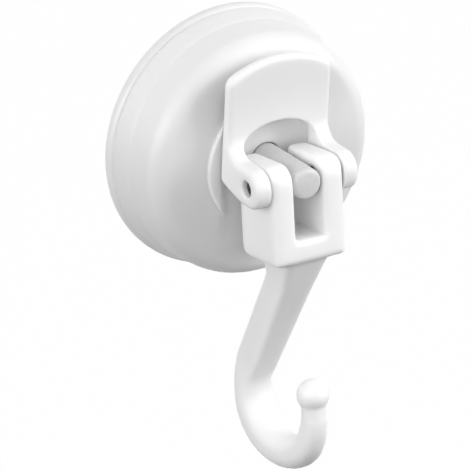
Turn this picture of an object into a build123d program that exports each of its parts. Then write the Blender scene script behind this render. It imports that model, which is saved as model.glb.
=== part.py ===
from build123d import *

import os
from math import cos, radians, sin

# A lever suction hook for a smooth wall. The wall is the plane y = 0 and the object stands in
# front of it, on the side of -Y. +Z is up, and the origin is on the wall, on the cup's axis.
# A depth is a distance from the wall, so a point at depth d has y = -d. All sizes are in mm.

# Construction
lap = 0.5               # how far bodies that are joined run into each other
past = 1.0              # how far a cutter reaches past what it cuts

# Suction pad
pad_proud = 0.4         # how far the soft disc stands out past the housing
pad_rim_t = 3.2         # thickness at the rim, the strip that shows behind the housing
pad_shoulder = 0.5      # from the housing's skirt inwards, where the disc leaves the wall
dish_flat = 11.5        # radius of the flat middle
dish_round = 6.0
pad_edge_round = 1.3
pad_front_round = 1.5   # where the rim's front starts to rise towards the hub
dish_depth = 2.4        # how far the middle is drawn off the wall
membrane_t = 1.7
hub_r = 11.0
hub_root_round = 2.0
hub_edge_round = 0.8
hub_lip_t = 1.5         # the lip that the stem's foot pulls on

# Housing
flange_r = 29.1         # at the back edge
flange_taper = 0.9      # how much the flange band narrows towards the front
flange_end = 7.6        # depth at which the flange band ends
flange_round = 0.8
skirt_round = 0.3       # along the flange's back edge
band_step = 0.3         # how much the next band is narrower
band_taper = 1.0        # how much that band narrows towards the front
band_round = 0.5
cap_depth = 17.4        # depth of the front face at its edge
cap_round = 4.4
crown = 0.8             # how much the front face rises from its edge to the boss
cap_wall = 2.2
roof_round = 2.0        # inside, where wall and roof meet
boss_r = 14.9
boss_height = 1.05      # above the crowned face
boss_round = 0.5
sleeve_wall = 2.0
sleeve_clear = 0.8      # from the sleeve's end to the pad's hub
rib_count = 6
rib_t = 1.4
rib_height = 3.2

# Pin and lever travel
pin_r = 1.7
pin_recess = 1.3        # how far each end lies inside its ear
pin_fit = 0.05          # radial clearance of the pin in what turns on it
pin_seat = 0.02         # and in the stem that carries it
pin_chamfer = 0.25
pull = 1.5              # how far the lever draws the stem off the wall

# Lever
lever_half_w = 12.65
ear_nose_r = 4.8
ear_top = 4.4           # height of the ears' upper edge above the pin
ear_low = 4.2           # and of their lower edge below it
ear_top_round = 4.3
ear_low_round = 3.8
cam_back = 10.4         # from the pin to the flat that bears on the boss
cam_gap = 0.25
cam_corner_z = -2.0     # lower end of that flat
cam_corner_round = 1.6
cam_slope_end = (2.8, -4.1)
cam_slope_round = 3.0
plate_top = 25.2        # height of the rounded top above the pin, at the middle
plate_side_top = 21.4   # and at the sides
plate_t = 2.8
plate_back_top = 9.2    # from the pin to the plate's back, at the top
plate_root_round = 4.2  # hollow where the plate runs into the ears
plate_corner_r = 2.4
side_round = 1.15       # rounding along the sides and the top
arch_spring = 5.2       # height where the arched notch starts to close
arch_top = 10.5

# Hook, in a frame with its origin on the pin and upright. The finished hook leans by hook_lean.
hook_lean = 7.0
yoke_half_w = 8.8
yoke_front = 5.1
yoke_back = 10.4
yoke_top = 4.4
yoke_bottom = 17.4
yoke_side_gap = 0.3
window_half_w = 3.7
window_floor = 12.2
window_round = 0.5      # along the window's front edges
yoke_front_round = 1.7
yoke_back_round = 2.4
yoke_heel_round = 3.6   # lower back corner, seen from the side
yoke_toe_round = 1.3
yoke_top_round = 4.2
yoke_flank_round = 0.9  # along both flanks' lower and upper edges, seen from the front
swing_gap = 0.35

shank_angle = 33.6      # slope of the shank away from upright
shank_top_w = 8.8
shank_low_w = 6.8
shank_top_t = 7.8
shank_low_t = 8.1
shank_set = -0.35       # its upper end, from the straight line, towards the front
shank_edge = 1.4
root_round = 2.0
root_w = 11.4           # the shank's root under the yoke
root_t = 12.4
root_h = 6.0
root_set = -0.3         # from the middle of the yoke's underside, towards the front
throat_r = 12.3         # half the J's width, to its centre line
throat_drop = 10.7      # how far its centre line goes below the throat's centre
throat_y = 10.1
throat_z = -53.2
first_turn = 22.0       # degrees in which the flat-sided shank becomes round
bend_w = (8.0, 8.4, 7.8, 6.6, 5.4)     # width of the J from there, at even steps round the bend
bend_t = (8.1, 8.2, 7.7, 6.8, 5.5)     # thickness at the same steps
bend_fullness = 0.46    # corner rounding of the round sections, as a share of their smaller side
neck_r = 2.7
ball_r = 3.55
ball_rise = 5.4         # from the end of the bend to the ball's centre

# Pull stem
stem_r = 3.45
stem_nose = 4.4         # from the pin to the stem's front end
stem_nose_round = 0.9
stem_dome = 0.3         # rise of the nose's middle
stem_root_round = 0.1
stem_gap = 0.25         # radial clearance in the sleeve and in the pad's lip
foot_r = 7.4
foot_t = 2.0
foot_round = 0.6
foot_gap = 0.15         # from the foot to the lip that it pulls

# Sizes that follow
crown_depth = cap_depth + crown
boss_depth = crown_depth + boss_height
pin_depth = boss_depth + cam_gap + cam_back
band_r = flange_r - flange_taper - band_step
skirt_in = band_r - cap_wall
pad_r = flange_r + pad_proud
seal_in = skirt_in - pad_shoulder
relief_depth = pin_depth - (yoke_back + pull + swing_gap)
roof_depth = relief_depth - cap_wall
pad_hub_depth = dish_depth + membrane_t + pull + foot_t + 2 * foot_gap + hub_lip_t
foot_front = pad_hub_depth - hub_lip_t - foot_gap
bore_r = stem_r + stem_gap
ear_in = yoke_half_w + yoke_side_gap


def at(x, depth, z):
    return Vector(x, -depth, z)


def turned(points, radii):
    """A solid turned about the cup's axis, from corners (radius, depth) and their roundings."""
    outline = FilletPolyline(*[(r, -d) for r, d in points], radius=radii, close=True)
    return revolve(make_face(outline), Axis.Y)


def slab(points, radii, x0, x1):
    """A side profile of (back, up) from the pin, carried across from x0 to x1."""
    outline = FilletPolyline(*[(b, u) for b, u in points], radius=radii, close=True)
    side = Plane(origin=at(x0, pin_depth, 0), x_dir=(0, 1, 0), z_dir=(1, 0, 0))
    return extrude(side * make_face(outline), x1 - x0)


def crosswise(radius, x0, x1):
    """A round bar along the pin's axis."""
    return Plane(origin=at(x0, pin_depth, 0), z_dir=(1, 0, 0)) * Cylinder(
        radius, x1 - x0, align=(Align.CENTER, Align.CENTER, Align.MIN))


def outward(radius, depth0, depth1):
    """A round bar along the cup's axis, from one depth to another."""
    return Plane(origin=at(0, depth0, 0), z_dir=(0, -1, 0)) * Cylinder(
        radius, depth1 - depth0, align=(Align.CENTER, Align.CENTER, Align.MIN))


def suction_pad():
    """Soft disc: a flat sealing ring, a shallow dish drawn off the wall and a hollow hub."""
    hub_room = foot_front + foot_gap
    body = turned(
        [(0, dish_depth), (dish_flat, dish_depth), (seal_in, 0), (pad_r, 0),
         (pad_r, pad_rim_t), (seal_in, pad_rim_t), (hub_r, dish_depth + membrane_t),
         (hub_r, pad_hub_depth), (0, pad_hub_depth)],
        [0, dish_round, 0, pad_edge_round, pad_edge_round, pad_front_round, hub_root_round,
         hub_edge_round, 0])
    room = outward(foot_r + stem_gap, dish_depth + membrane_t, hub_room)
    throat = outward(bore_r, hub_room - hub_lip_t / 3, pad_hub_depth + past)
    return body - room - throat


def housing():
    """Stepped cap with a crowned face, two bearing lands, a sleeve for the stem and ribs."""
    back = pad_rim_t
    flange_front = flange_r - flange_taper
    shell = turned(
        [(skirt_in, back), (flange_r, back), (flange_front, flange_end),
         (band_r, flange_end + flange_round), (band_r - band_taper, cap_depth),
         (boss_r, crown_depth), (0, crown_depth), (0, roof_depth), (skirt_in - band_taper, roof_depth)],
        [skirt_round / 2, skirt_round, flange_round, band_round, cap_round, 0, 0, 0, roof_round])
    boss = outward(boss_r, roof_depth + lap, boss_depth)
    boss = fillet(boss.edges().sort_by(Axis.Y)[0], boss_round)
    sleeve_end = pad_hub_depth + sleeve_clear
    sleeve = outward(bore_r + sleeve_wall, sleeve_end, roof_depth + lap)
    solid = shell + boss + sleeve
    spoke_from = bore_r + sleeve_wall / 2
    spoke_to = skirt_in - band_taper + lap / 2
    for k in range(rib_count):
        spoke = Pos(0, -(roof_depth + (lap - rib_height) / 2), (spoke_from + spoke_to) / 2) * Box(
            rib_t, rib_height + lap, spoke_to - spoke_from)
        solid += Rot(0, 360 * k / rib_count, 0) * spoke
    room = boss_depth - relief_depth + past
    channel = Pos(0, -(relief_depth + room / 2), 0) * Box(
        2 * (yoke_half_w + swing_gap), room, 2 * boss_r)
    bore = outward(bore_r, sleeve_end - past, boss_depth)
    return solid - channel - bore


def pull_stem():
    """Round stem with a domed nose, cross-drilled for the pin, and a foot inside the pad's hub."""
    nose = pin_depth + stem_nose
    body = turned(
        [(0, foot_front - foot_t), (foot_r, foot_front - foot_t), (foot_r, foot_front),
         (stem_r, foot_front), (stem_r, nose), (0, nose + stem_dome)],
        [0, foot_round, foot_round, stem_root_round, stem_nose_round, 0])
    return body - crosswise(pin_r + pin_seat, -stem_r - past, stem_r + past)


def pivot_pin():
    half = lever_half_w - pin_recess
    pin = crosswise(pin_r, -half, half)
    return chamfer(pin.edges(), pin_chamfer)


def lever():
    """Cam lever: a leaning plate with a rounded top, an arched notch and two rounded ears."""
    w = lever_half_w
    lean = (cam_back - plate_back_top) / plate_side_top
    front_top = plate_back_top - plate_t
    front_root = front_top + lean * (plate_side_top - ear_top)
    head = plate_top + past
    over = lean * (head - plate_side_top)
    body = slab(
        [(cam_back, cam_corner_z), (cam_back, 0), (plate_back_top - over, head),
         (front_top - over, head), (front_root, ear_top), (-ear_nose_r, ear_top),
         (-ear_nose_r, -ear_low), cam_slope_end],
        [cam_corner_round, 0, 0, 0, plate_root_round, ear_top_round, ear_low_round,
         cam_slope_round],
        -w, w)
    reach = 2 * (ear_nose_r + cam_back)
    face = Plane(origin=at(0, pin_depth + ear_nose_r + past, 0), x_dir=(1, 0, 0), z_dir=(0, -1, 0))
    outline = make_face(
        Polyline((-w, plate_side_top), (-w, -reach), (w, -reach), (w, plate_side_top))
        + ThreePointArc((w, plate_side_top), (0, plate_top), (-w, plate_side_top)))
    outline = fillet(outline.vertices().sort_by(Axis.Y)[-2:], plate_corner_r)
    body &= extrude(face * outline, -reach)
    top = plate_side_top - plate_corner_r - past
    rim = body.edges().filter_by(lambda e: abs(abs(e.center().X) - w) < 0.01 or e.center().Z > top)
    rim = rim.filter_by(lambda e: abs((e % 0.5).Y) < 0.9 or e.center().Z < top)
    body = fillet(rim, side_round)
    arch = Ellipse(ear_in, arch_top - arch_spring)
    gate = Pos(0, arch_spring - reach / 2) * Rectangle(2 * ear_in, reach)
    body -= extrude(face * (Pos(0, arch_spring) * arch + gate), -reach)
    body -= crosswise(pin_r + pin_fit, -w - past, w + past)
    return body


def bend_point(angle):
    """A place on the J's centre line; 0 is level on the wall's side, -90 the lowest point."""
    t = radians(angle)
    drop = throat_r if angle > 0 else throat_drop
    return throat_y + throat_r * cos(t), throat_z + drop * sin(t)


def section(angle, w, t, corner):
    """Rounded section square to the J's centre line, w across and t in the plane of the bend."""
    y, z = bend_point(angle)
    t0 = radians(angle)
    plane = Plane(origin=(0, y, z), x_dir=(1, 0, 0), z_dir=(0, sin(t0), -cos(t0)))
    return plane * RectangleRounded(w, t, corner)


def yoke():
    """Upright yoke with rounded arms, an open window and a back rounded about the pin."""
    side = FilletPolyline(
        (-yoke_front, yoke_top), (-yoke_front, -yoke_bottom), (yoke_back, -yoke_bottom),
        (yoke_back, yoke_top),
        radius=[yoke_top_round, yoke_toe_round, yoke_heel_round, 0], close=True)
    plane = Plane(origin=(-yoke_half_w, 0, 0), x_dir=(0, 1, 0), z_dir=(1, 0, 0))
    body = extrude(plane * make_face(side), 2 * yoke_half_w)
    round_back = plane * Cylinder(
        yoke_back, 2 * yoke_half_w, align=(Align.CENTER, Align.CENTER, Align.MIN))
    upper = Pos(0, (yoke_back + past) / 2, (yoke_top + past) / 2) * Box(
        2 * yoke_half_w, yoke_back + past, yoke_top + past)
    body -= upper - round_back
    plan = FilletPolyline(
        (-yoke_half_w, -yoke_front), (yoke_half_w, -yoke_front), (yoke_half_w, yoke_back),
        (-yoke_half_w, yoke_back),
        radius=[yoke_front_round, yoke_front_round, yoke_back_round, yoke_back_round], close=True)
    body &= Pos(0, 0, -yoke_bottom - past) * extrude(make_face(plan), yoke_bottom + yoke_top + 2 * past)
    front = FilletPolyline(
        (-yoke_half_w, yoke_top), (-yoke_half_w, -yoke_bottom), (yoke_half_w, -yoke_bottom),
        (yoke_half_w, yoke_top), radius=yoke_flank_round, close=True)
    body &= extrude(Plane(origin=(0, yoke_back + past, 0), x_dir=(1, 0, 0), z_dir=(0, -1, 0))
                    * make_face(front), yoke_front + yoke_back + 2 * past)
    window = Pos(0, 0, (yoke_top + past - window_floor) / 2) * Box(
        2 * window_half_w, 2 * (yoke_front + yoke_back), yoke_top + past + window_floor)
    nick = Rectangle(2 * window_round, 2 * window_round)
    nick -= Pos(window_round, window_round) * Circle(window_round)
    uprights = Pos(window_half_w, -yoke_front) * nick
    uprights += Pos(-window_half_w, -yoke_front) * Rot(0, 0, 90) * nick
    sill = Plane(origin=(-window_half_w, 0, 0), x_dir=(0, 1, 0), z_dir=(1, 0, 0)) * (
        Pos(-yoke_front, -window_floor) * Rot(0, 0, -90) * nick)
    body -= window
    body -= Pos(0, 0, -window_floor) * extrude(uprights, yoke_top + window_floor + past)
    return body - extrude(sill, 2 * window_half_w)


def shank():
    """Root under the yoke and the straight shank, which tapers down to the bend."""
    lean = radians(shank_angle)
    bend_y, bend_z = bend_point(shank_angle)
    top_z = -yoke_bottom - root_h
    top_y = bend_y - (top_z - bend_z) * sin(lean) / cos(lean) + shank_set
    under = Plane(origin=(0, (yoke_back - yoke_front) / 2 + root_set, -yoke_bottom + lap),
                  x_dir=(1, 0, 0), z_dir=(0, 0, -1))
    high = Plane(origin=(0, top_y, top_z), x_dir=(1, 0, 0), z_dir=(0, sin(lean), -cos(lean)))
    top = high * RectangleRounded(shank_top_w, shank_top_t, shank_edge)
    low = section(shank_angle, shank_low_w, shank_low_t, shank_edge)
    return loft([under * RectangleRounded(root_w, root_t, root_round), top]) + loft([top, low])


def bend():
    """The J: sections that turn round and then taper, carried round the throat, and a ball."""
    sections = [section(shank_angle, shank_low_w, shank_low_t, shank_edge)]
    start = shank_angle - first_turn
    for k, (w, t) in enumerate(zip(bend_w, bend_t)):
        angle = start - (180 + start) * k / (len(bend_w) - 1)
        sections.append(section(angle, w, t, bend_fullness * min(w, t)))
    curve = loft(sections)
    end_y, end_z = bend_point(-180)
    neck = Pos(0, end_y, end_z) * Cylinder(
        neck_r, ball_rise, align=(Align.CENTER, Align.CENTER, Align.MIN))
    ball = Pos(0, end_y, end_z + ball_rise) * Sphere(ball_r)
    return curve + neck + ball


def hook():
    upright = yoke() + shank() + bend()
    placed = Pos(0, -pin_depth, 0) * Rot(-hook_lean, 0, 0) * upright
    return placed - crosswise(pin_r + pin_fit, -yoke_half_w - past, yoke_half_w + past)


os.makedirs("parts", exist_ok=True)
for name, solid in (
    ("suction_pad", suction_pad()),
    ("housing", housing()),
    ("pull_stem", pull_stem()),
    ("pivot_pin", pivot_pin()),
    ("lever", lever()),
    ("hook", hook()),
):
    export_step(solid, f"parts/{name}.step")
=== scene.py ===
from math import cos, radians, sin

import bmesh
import bpy
import numpy as np
from mathutils import Matrix, Vector


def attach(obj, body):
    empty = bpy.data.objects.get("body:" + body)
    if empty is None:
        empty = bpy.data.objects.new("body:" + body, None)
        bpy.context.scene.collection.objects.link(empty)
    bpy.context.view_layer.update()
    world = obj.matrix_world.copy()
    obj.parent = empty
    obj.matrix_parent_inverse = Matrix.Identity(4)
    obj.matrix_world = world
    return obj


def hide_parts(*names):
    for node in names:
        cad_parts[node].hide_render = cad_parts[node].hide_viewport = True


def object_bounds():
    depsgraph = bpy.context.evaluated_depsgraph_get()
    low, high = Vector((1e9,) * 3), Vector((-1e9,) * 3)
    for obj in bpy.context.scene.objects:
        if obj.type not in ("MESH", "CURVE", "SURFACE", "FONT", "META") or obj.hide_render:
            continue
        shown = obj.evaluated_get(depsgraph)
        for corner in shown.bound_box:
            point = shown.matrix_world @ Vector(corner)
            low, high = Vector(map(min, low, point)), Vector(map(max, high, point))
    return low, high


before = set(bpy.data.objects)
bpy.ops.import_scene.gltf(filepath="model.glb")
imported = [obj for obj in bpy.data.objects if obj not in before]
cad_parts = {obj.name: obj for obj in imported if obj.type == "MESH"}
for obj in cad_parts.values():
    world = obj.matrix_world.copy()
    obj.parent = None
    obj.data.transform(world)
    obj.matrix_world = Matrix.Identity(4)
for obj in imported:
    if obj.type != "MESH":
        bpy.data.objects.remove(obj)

cad_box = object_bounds()
MM = 0.001
PHOTO_SIZE = 470                       # pixels, each way

# Camera, as fitted to the photograph
CAMERA_DISTANCE = 0.8
CAMERA_AZIMUTH = radians(-32.727)      # from the front towards the object's left
CAMERA_ELEVATION = radians(24.064)
CAMERA_ROLL = radians(1.0)
CAMERA_TARGET = Vector((0, -18.2, -20)) * MM
FOCAL_PX = 3742.218
CENTRE_PX = (30.4, 10.427)             # from the photograph's middle to the target
SENSOR_MM = 36.0
CLIP_START = 0.01
CLIP_END = 20

# Lamps and surroundings, in metres
LAMP_DISTANCE = 1.2
LAMP_SIZE = 0.6
SKY_LIGHT = 0.6                        # what the sky gives to the object; it looks white itself
FLOOR_LIGHT = 0.1                      # what the floor gives back to the undersides
FLOOR_TONE = 0.9                       # what its matt share looks like
FLOOR_GLOW = 0.985                     # share of the floor's look that no shadow touches
FLOOR_DROP = 0.5                       # from the hook's lowest point
FLOOR_HALF_W = 6
FLOOR_FRONT = -3
FLOOR_BACK = 5

# Finishes
MOULDED_EDGE = 0.35 * MM
EDGE_SAMPLES = 8
TONE_DRIFT = 0.01
GRAIN_HEIGHT = 0.02 * MM
LIGHT_SPREAD = 1.2 * MM                # how far light travels inside the plastic
RAMP_ENDS = (0.3, 0.7)

# The boss's channel, which the yoke's back sinks into
CHANNEL_HALF_W = 9.15 * MM
CHANNEL_HALF_H = 14.9 * MM
CHANNEL_DEPTH = 17.65 * MM             # of its floor, from the wall plane
BOSS_DEPTH = 19.25 * MM
BOSS_R = 14.9 * MM
BOSS_RIM = 0.5 * MM                    # width of the slope that stands for the boss's side
CROWN_DEPTH = 18.2 * MM                # of the cone at the boss's foot
CROWN_SLOPE = 0.8 / 12.0
CUTTER_TOP = 1 * MM                    # how far the cutter stands out of the boss
FLANK_RUN = 3.4 * MM                   # width of the band in which the channel runs out
FLANK_STEPS = 24
CORNER_STEPS = 12
SIDE_STEPS = 60
CUT_MARGIN = 0.004 * MM                # keeps the cut clear of the channel's own floor
MERGE_DISTANCE = 1e-6                  # metres
SMOOTH_BELOW = 30                      # degrees; the cap's sharper edges stay edges

# Grids and smoothing passes of the moulded pieces
LEVER_GRID = 0.24 * MM
LEVER_PASSES = 18
HOOK_GRID = 0.26 * MM
HOOK_PASSES = 16
HOOK_EXTRA_PASSES = 110
STEM_GRID = 0.2 * MM
STEM_PASSES = 24
PASS_STEP = 0.5                        # of the way to the middle of a point's neighbours
SHARE_LEVELS = 20                      # a point's share is rounded to so many steps

# The hook's yoke and bar get the extra passes, its ball and its bend's front don't
YOKE_LOW = -25 * MM
BAR_LOW = -60 * MM
BAR_FRONT = -36 * MM
SHARE_FADE = 5 * MM
YOKE_SHARE = 0.55
BALL_SHARE = 0.75

# Around the pin the bores keep their size
PIN_Y = -29.9 * MM
PIN_HALF_L = 11.35 * MM
BORE_KEEP = 2.4 * MM                   # distance from the pin's axis beyond which points move freely
BORE_FADE = 0.5 * MM


def grey(tone):
    """Red, green and blue of one tone."""
    return (tone, tone, tone)


def ease(t):
    """3 t^2 - 2 t^3, which leaves 0 and reaches 1 without an edge."""
    return 3 * t ** 2 - 2 * t ** 3


def towards(azimuth, elevation):
    """Direction away from the object. Angles in radians; azimuth 0 is in front, + is to the right."""
    level = cos(elevation)
    return Vector((sin(azimuth) * level, -cos(azimuth) * level, sin(elevation)))


def placed(name, data):
    """A new object of the scene, at the origin."""
    thing = bpy.data.objects.new(name, data)
    bpy.context.scene.collection.objects.link(thing)
    return thing


def empty_material(name):
    """A material whose tree holds its output alone."""
    material = bpy.data.materials.new(name)
    material.use_nodes = True
    tree = material.node_tree
    tree.nodes.clear()
    return material, tree, tree.nodes.new("ShaderNodeOutputMaterial")


def new_material(name):
    """A material with one principled shader."""
    material, tree, output = empty_material(name)
    shader = tree.nodes.new("ShaderNodeBsdfPrincipled")
    tree.links.new(shader.outputs["BSDF"], output.inputs["Surface"])
    return material, tree, shader


def object_noise(tree, scale, detail, stretch=(1, 1, 1)):
    """Noise in the piece's own Object coordinates, stretched along an axis if wanted."""
    place = tree.nodes.new("ShaderNodeTexCoord")
    mapping = tree.nodes.new("ShaderNodeMapping")
    mapping.inputs["Scale"].default_value = stretch
    noise = tree.nodes.new("ShaderNodeTexNoise")
    noise.inputs["Scale"].default_value = scale
    noise.inputs["Detail"].default_value = detail
    tree.links.new(place.outputs["Object"], mapping.inputs["Vector"])
    tree.links.new(mapping.outputs["Vector"], noise.inputs["Vector"])
    return noise.outputs["Fac"]


def ramp(tree, value, low, high):
    """A grey that runs from low to high as value goes from one end of the ramp to the other."""
    node = tree.nodes.new("ShaderNodeValToRGB")
    for element, position, tone in zip(node.color_ramp.elements, RAMP_ENDS, (low, high)):
        element.position = position
        element.color = (*grey(tone), 1)
    tree.links.new(value, node.inputs["Fac"])
    return node.outputs["Color"]


def bump(tree, shader, height, strength, edge=0.0):
    """A fine relief; edge is the radius of the softness that moulding leaves on every corner."""
    node = tree.nodes.new("ShaderNodeBump")
    node.inputs["Strength"].default_value = strength
    node.inputs["Distance"].default_value = GRAIN_HEIGHT
    tree.links.new(height, node.inputs["Height"])
    if edge:
        soft = tree.nodes.new("ShaderNodeBevel")
        soft.samples = EDGE_SAMPLES
        soft.inputs["Radius"].default_value = edge
        tree.links.new(soft.outputs["Normal"], node.inputs["Normal"])
    tree.links.new(node.outputs["Normal"], shader.inputs["Normal"])


def white_plastic(name, tone, edge=MOULDED_EDGE):
    """Moulded plastic: faint drift of tone, a fine grain, a soft gloss and light that spreads inside."""
    material, tree, shader = new_material(name)
    drift = object_noise(tree, scale=60, detail=2)
    colour = ramp(tree, drift, tone - TONE_DRIFT, tone + TONE_DRIFT)
    tree.links.new(colour, shader.inputs["Base Color"])
    shader.inputs["Roughness"].default_value = 0.38
    shader.inputs["IOR"].default_value = 1.49
    shader.inputs["Subsurface Weight"].default_value = 1.0
    shader.inputs["Subsurface Radius"].default_value = (1, 1, 1)
    shader.inputs["Subsurface Scale"].default_value = LIGHT_SPREAD
    bump(tree, shader, object_noise(tree, scale=2600, detail=2), strength=0.12, edge=edge)
    return material


def soft_vinyl():
    """The pad's soft vinyl: milky, smooth and a little greyer than the plastic."""
    material, tree, shader = new_material("soft_vinyl")
    cloud = object_noise(tree, scale=90, detail=3)
    tree.links.new(ramp(tree, cloud, 0.74, 0.8), shader.inputs["Base Color"])
    shader.inputs["Roughness"].default_value = 0.3
    shader.inputs["IOR"].default_value = 1.53
    bump(tree, shader, object_noise(tree, scale=900, detail=2), strength=0.1)
    return material


def steel_with_painted_shade():
    """Drawn wire: fine lines along the pin. Its near-black tone is painted shade for the pin's ends, deep
    in the lever's holes.
    """
    material, tree, shader = new_material("steel_with_painted_shade")
    lines = object_noise(tree, scale=1800, detail=3, stretch=(0.03, 1, 1))
    # painted shade: the steel's tone is kept near black so that the pin's ends look dark in their holes
    tree.links.new(ramp(tree, lines, 0.05, 0.09), shader.inputs["Base Color"])
    shader.inputs["Metallic"].default_value = 1
    shader.inputs["Roughness"].default_value = 0.34
    bump(tree, shader, lines, strength=0.15)
    return material


def stem_satin():
    """The stem's satin face, greyer than the white pieces."""
    material, tree, shader = new_material("satin_stem")
    grain = object_noise(tree, scale=1400, detail=3)
    tree.links.new(ramp(tree, grain, 0.64, 0.68), shader.inputs["Base Color"])
    shader.inputs["Roughness"].default_value = 0.4
    bump(tree, shader, grain, strength=0.12)
    return material


def calculated(tree, operation, *values):
    """A math node's result; each value is a number or another node's output."""
    node = tree.nodes.new("ShaderNodeMath")
    node.operation = operation
    for socket, value in zip(node.inputs, values):
        if isinstance(value, bpy.types.NodeSocket):
            tree.links.new(value, socket)
        else:
            socket.default_value = value
    return node.outputs[0]


def seen_itself(tree):
    """1 where the surroundings are seen, straight or in a reflection, and 0 where they only light."""
    path = tree.nodes.new("ShaderNodeLightPath").outputs
    mirrored = calculated(tree, "MAXIMUM", path["Is Glossy Ray"], path["Is Transmission Ray"])
    return calculated(tree, "MAXIMUM", path["Is Camera Ray"], mirrored)


def floor_white():
    """Pale matt surface that looks nearly white and still takes a trace of the shadow."""
    material, tree, output = empty_material("floor_white")
    matt = tree.nodes.new("ShaderNodeBsdfDiffuse")
    tone = tree.nodes.new("ShaderNodeMixRGB")
    tone.inputs["Color1"].default_value = (*grey(FLOOR_LIGHT), 1)
    tone.inputs["Color2"].default_value = (*grey(FLOOR_TONE), 1)
    tree.links.new(tone.outputs["Color"], matt.inputs["Color"])
    glow = tree.nodes.new("ShaderNodeEmission")
    glow.inputs["Strength"].default_value = 1.0
    seen = seen_itself(tree)
    tree.links.new(seen, tone.inputs["Fac"])
    mix = tree.nodes.new("ShaderNodeMixShader")
    tree.links.new(calculated(tree, "MULTIPLY", seen, FLOOR_GLOW), mix.inputs["Fac"])
    tree.links.new(matt.outputs[0], mix.inputs[1])
    tree.links.new(glow.outputs[0], mix.inputs[2])
    tree.links.new(mix.outputs[0], output.inputs["Surface"])
    return material


def face_depth(radius):
    """Depth of the cap's front: a cone that rises evenly to the boss, and the boss's level.

    Between them lies a short slope just outside the boss's own side.
    """
    cone = CROWN_DEPTH - CROWN_SLOPE * (radius - BOSS_R)
    rim = np.clip((BOSS_R + BOSS_RIM - radius) / BOSS_RIM, 0, 1)
    return cone + (BOSS_DEPTH - cone) * ease(rim)


def hollow_cutter():
    """Shape that eases the boss's channel out into the face around it.

    Its lower side is a rectangle's rounded surroundings: a point at distance t * run outside the
    rectangle lies at floor + (face - floor) * ease(t), so that it leaves the channel's floor level
    and runs into the face around it without an edge.
    """
    # Around the rectangle, in turn: an arc's points at each corner, then those of the next side
    corner = np.array([(1, 1), (-1, 1), (-1, -1), (1, -1)]) * (CHANNEL_HALF_W, CHANNEL_HALF_H)
    start = np.arange(4)[:, None] * np.pi / 2
    arc_angle = start + np.linspace(0, np.pi / 2, CORNER_STEPS)
    arc_from = np.repeat(corner[:, None], CORNER_STEPS, axis=1)
    share = np.linspace(0, 1, SIDE_STEPS + 2)[1:-1, None]
    side_from = corner[:, None] + (np.roll(corner, -1, axis=0) - corner)[:, None] * share
    side_angle = start + np.full(SIDE_STEPS, np.pi / 2)
    base = np.concatenate((arc_from, side_from), axis=1).reshape(-1, 2)
    angle = np.concatenate((arc_angle, side_angle), axis=1).ravel()
    # A row of them at each t, and one more above the boss
    t = np.linspace(0, 1, FLANK_STEPS)[:, None]
    x = base[:, 0] + t * FLANK_RUN * np.cos(angle)
    z = base[:, 1] + t * FLANK_RUN * np.sin(angle)
    rise = face_depth(np.hypot(x, z)) - CHANNEL_DEPTH
    depth = CHANNEL_DEPTH + CUT_MARGIN + rise * ease(t)
    rows = np.stack((x, -depth, z), axis=-1)
    top = rows[-1:] * (1, 0, 1) + (0, -(BOSS_DEPTH + CUTTER_TOP), 0)
    points = np.concatenate((rows, top)).reshape(-1, 3)
    # Quads from row to row, and a face that closes either end
    around = len(angle)
    k = np.arange(FLANK_STEPS)[:, None] * around
    i = np.arange(around)
    j = (i + 1) % around
    sides = np.stack((k + i, k + j, k + around + j, k + around + i), axis=-1).reshape(-1, 4)
    faces = sides.tolist() + [i[::-1].tolist(), (i + FLANK_STEPS * around).tolist()]
    mesh = bpy.data.meshes.new("hollow_cutter")
    mesh.from_pydata(points.tolist(), [], faces)
    form = bmesh.new()
    form.from_mesh(mesh)
    bmesh.ops.recalc_face_normals(form, faces=form.faces)
    form.to_mesh(mesh)
    form.free()
    return placed("hollow_cutter", mesh)


def joined_copy(node_name, name):
    """A new piece with a CAD node's surface, its loose triangles joined into one skin."""
    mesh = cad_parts[node_name].data.copy()
    mesh.name = name
    form = bmesh.new()
    form.from_mesh(mesh)
    bmesh.ops.remove_doubles(form, verts=form.verts, dist=MERGE_DISTANCE)
    form.to_mesh(mesh)
    form.free()
    # The stored normals belong to the loose triangles and don't fit the joined skin
    mesh.attributes.remove(mesh.attributes["custom_normal"])
    mesh.materials.clear()
    return placed(name, mesh)


def settle(piece):
    """Puts what the piece's modifiers make of it into its mesh."""
    shown = piece.evaluated_get(bpy.context.evaluated_depsgraph_get())
    mesh = bpy.data.meshes.new_from_object(shown)
    piece.modifiers.clear()
    piece.data = mesh
    return mesh


def soften(piece, name, passes, share):
    """In each pass a point moves PASS_STEP of the way to the middle of its neighbours, times its share."""
    levels = np.round(share * SHARE_LEVELS).astype(int)
    group = piece.vertex_groups.new(name=name)
    for level in range(1, SHARE_LEVELS + 1):
        group.add(np.flatnonzero(levels == level).tolist(), level / SHARE_LEVELS, "REPLACE")
    smooth = piece.modifiers.new(name, "SMOOTH")
    smooth.factor = PASS_STEP
    smooth.iterations = passes
    smooth.vertex_group = name


def free_share(x, y, z):
    """Share that is 0 around the pin, where the bores keep their size, and 1 elsewhere.

    It rises evenly over the last BORE_FADE before BORE_KEEP from the pin's axis, and before either
    end of the pin.
    """
    near_axis = np.clip((BORE_KEEP - np.hypot(y - PIN_Y, z)) / BORE_FADE, 0, 1)
    return 1 - near_axis * np.clip((PIN_HALF_L - abs(x)) / BORE_FADE, 0, 1)


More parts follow.
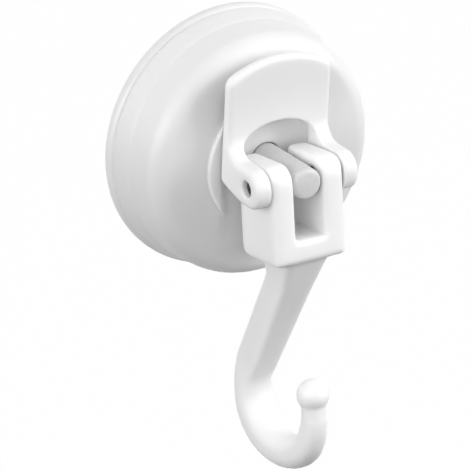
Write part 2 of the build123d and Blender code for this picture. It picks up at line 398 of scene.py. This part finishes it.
def hook_shares(y, z):
    """Shares of the hook's extra passes and of its usual ones.

    The extra share is YOKE_SHARE on the yoke, above YOKE_LOW, and 1 on the bar, which is below the
    yoke, above BAR_LOW and behind BAR_FRONT. The usual share is 1, but BALL_SHARE on what is below the
    yoke and in front of BAR_FRONT. Each changes evenly over SHARE_FADE.
    """
    yoke = np.clip((z - YOKE_LOW) / SHARE_FADE, 0, 1)
    behind = np.clip((y - BAR_FRONT) / SHARE_FADE, 0, 1)
    above = np.clip((z - BAR_LOW) / SHARE_FADE, 0, 1)
    bar = (1 - yoke) * behind * above
    return YOKE_SHARE * yoke + bar, 1 - (1 - BALL_SHARE) * (1 - yoke) * (1 - behind)


def moulded(node_name, name, body, grid, passes, extra_passes=0):
    """The node's shape as it leaves a mould, with every edge run soft.

    The skin is laid out anew on an even grid and then smoothed. Only the hook has extra passes.
    """
    piece = joined_copy(node_name, name)
    even = piece.modifiers.new("even", "REMESH")
    even.mode = "VOXEL"
    even.voxel_size = grid
    settle(piece)
    points = np.empty(3 * len(piece.data.vertices))
    piece.data.vertices.foreach_get("co", points)
    x, y, z = points.reshape(-1, 3).T
    free = free_share(x, y, z)
    if extra_passes:
        extra, usual = hook_shares(y, z)
        soften(piece, "extra", extra_passes, free * extra)
        free *= usual
    soften(piece, "soft", passes, free)
    settle(piece)
    piece.vertex_groups.clear()
    piece.data.shade_smooth()
    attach(piece, body)
    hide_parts(node_name)
    return piece


def eased_cap():
    """The stepped cap with the boss's channel eased out, as a piece of its own."""
    cap = joined_copy("housing", "cap")
    cutter = hollow_cutter()
    cut = cap.modifiers.new("channel", "BOOLEAN")
    cut.operation = "DIFFERENCE"
    cut.solver = "EXACT"
    cut.object = cutter
    solid = settle(cap)
    bpy.data.objects.remove(cutter)
    solid.shade_smooth()
    solid.set_sharp_from_angle(angle=radians(SMOOTH_BELOW))
    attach(cap, "base")
    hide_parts("housing")
    return cap


def make_camera():
    """The photograph's camera, turned about its own axis by its roll."""
    back = towards(CAMERA_AZIMUTH, CAMERA_ELEVATION)
    right = Vector((cos(CAMERA_AZIMUTH), sin(CAMERA_AZIMUTH), 0))
    up = back.cross(right)
    right, up = (cos(CAMERA_ROLL) * right + sin(CAMERA_ROLL) * up,
                 cos(CAMERA_ROLL) * up - sin(CAMERA_ROLL) * right)
    data = bpy.data.cameras.new("camera")
    data.sensor_width = SENSOR_MM
    data.lens = FOCAL_PX / PHOTO_SIZE * SENSOR_MM
    data.shift_x = -CENTRE_PX[0] / PHOTO_SIZE
    data.shift_y = CENTRE_PX[1] / PHOTO_SIZE
    data.clip_start = CLIP_START
    data.clip_end = CLIP_END
    camera = placed("camera", data)
    turn = Matrix((right, up, back)).transposed().to_4x4()
    camera.matrix_world = Matrix.Translation(CAMERA_TARGET + back * CAMERA_DISTANCE) @ turn
    bpy.context.scene.camera = camera


def soft_light(name, azimuth, elevation, power):
    """A square soft lamp that looks at the object; angles in degrees, power in watts."""
    away = towards(radians(azimuth), radians(elevation))
    data = bpy.data.lights.new(name, "AREA")
    data.size = LAMP_SIZE
    data.energy = power
    lamp = placed(name, data)
    lamp.location = CAMERA_TARGET + away * LAMP_DISTANCE
    lamp.rotation_euler = away.to_track_quat("Z", "Y").to_euler()


def make_lights():
    """Four soft lamps and a sky that looks white but lights less."""
    soft_light("key_right", azimuth=58, elevation=20, power=8.6)
    soft_light("front_right", azimuth=30, elevation=35, power=1.5)
    soft_light("key_left", azimuth=-60, elevation=20, power=4.2)
    soft_light("side_left", azimuth=-88, elevation=15, power=3.8)
    world = bpy.data.worlds.new("studio")
    bpy.context.scene.world = world
    world.use_nodes = True
    tree = world.node_tree
    sky = tree.nodes["Background"]
    sky.inputs["Color"].default_value = (1, 1, 1, 1)
    strength = calculated(tree, "MULTIPLY_ADD", seen_itself(tree), 1 - SKY_LIGHT, SKY_LIGHT)
    tree.links.new(strength, sky.inputs["Strength"])


def make_stage():
    """A wide floor below the object, which the camera sees behind it too."""
    low = cad_box[0][2] - FLOOR_DROP
    points = [(-FLOOR_HALF_W, FLOOR_FRONT, low), (FLOOR_HALF_W, FLOOR_FRONT, low),
              (FLOOR_HALF_W, FLOOR_BACK, low), (-FLOOR_HALF_W, FLOOR_BACK, low)]
    mesh = bpy.data.meshes.new("floor")
    mesh.from_pydata(points, [], [(0, 1, 2, 3)])
    floor = placed("floor", mesh)
    floor.data.materials.append(floor_white())


def dress(piece, material):
    """Gives a piece its material in place of any it has."""
    piece.data.materials.clear()
    piece.data.materials.append(material)


# The cap, lever and hook are given three tones of white plastic. The cap's darker tone is partly its own
# plastic and partly painted shade on its face; the hook's near-white tone is partly its own plastic and
# partly painted light, brighter than the lamps make it.
dress(eased_cap(), white_plastic("housing_plastic", tone=0.81))
lever = moulded("lever", "cam_lever", "lever_arm", LEVER_GRID, LEVER_PASSES)
dress(lever, white_plastic("lever_plastic", tone=0.86, edge=0))
hook = moulded("hook", "yoke_and_bar", "hook_arm", HOOK_GRID, HOOK_PASSES, HOOK_EXTRA_PASSES)
dress(hook, white_plastic("hook_plastic", tone=0.97, edge=0))
dress(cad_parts["suction_pad"], soft_vinyl())
dress(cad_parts["pivot_pin"], steel_with_painted_shade())
stem = moulded("pull_stem", "stem_and_foot", "stem", STEM_GRID, STEM_PASSES)
dress(stem, stem_satin())
make_stage()
make_lights()
make_camera()
bpy.context.scene.view_settings.view_transform = "Standard"
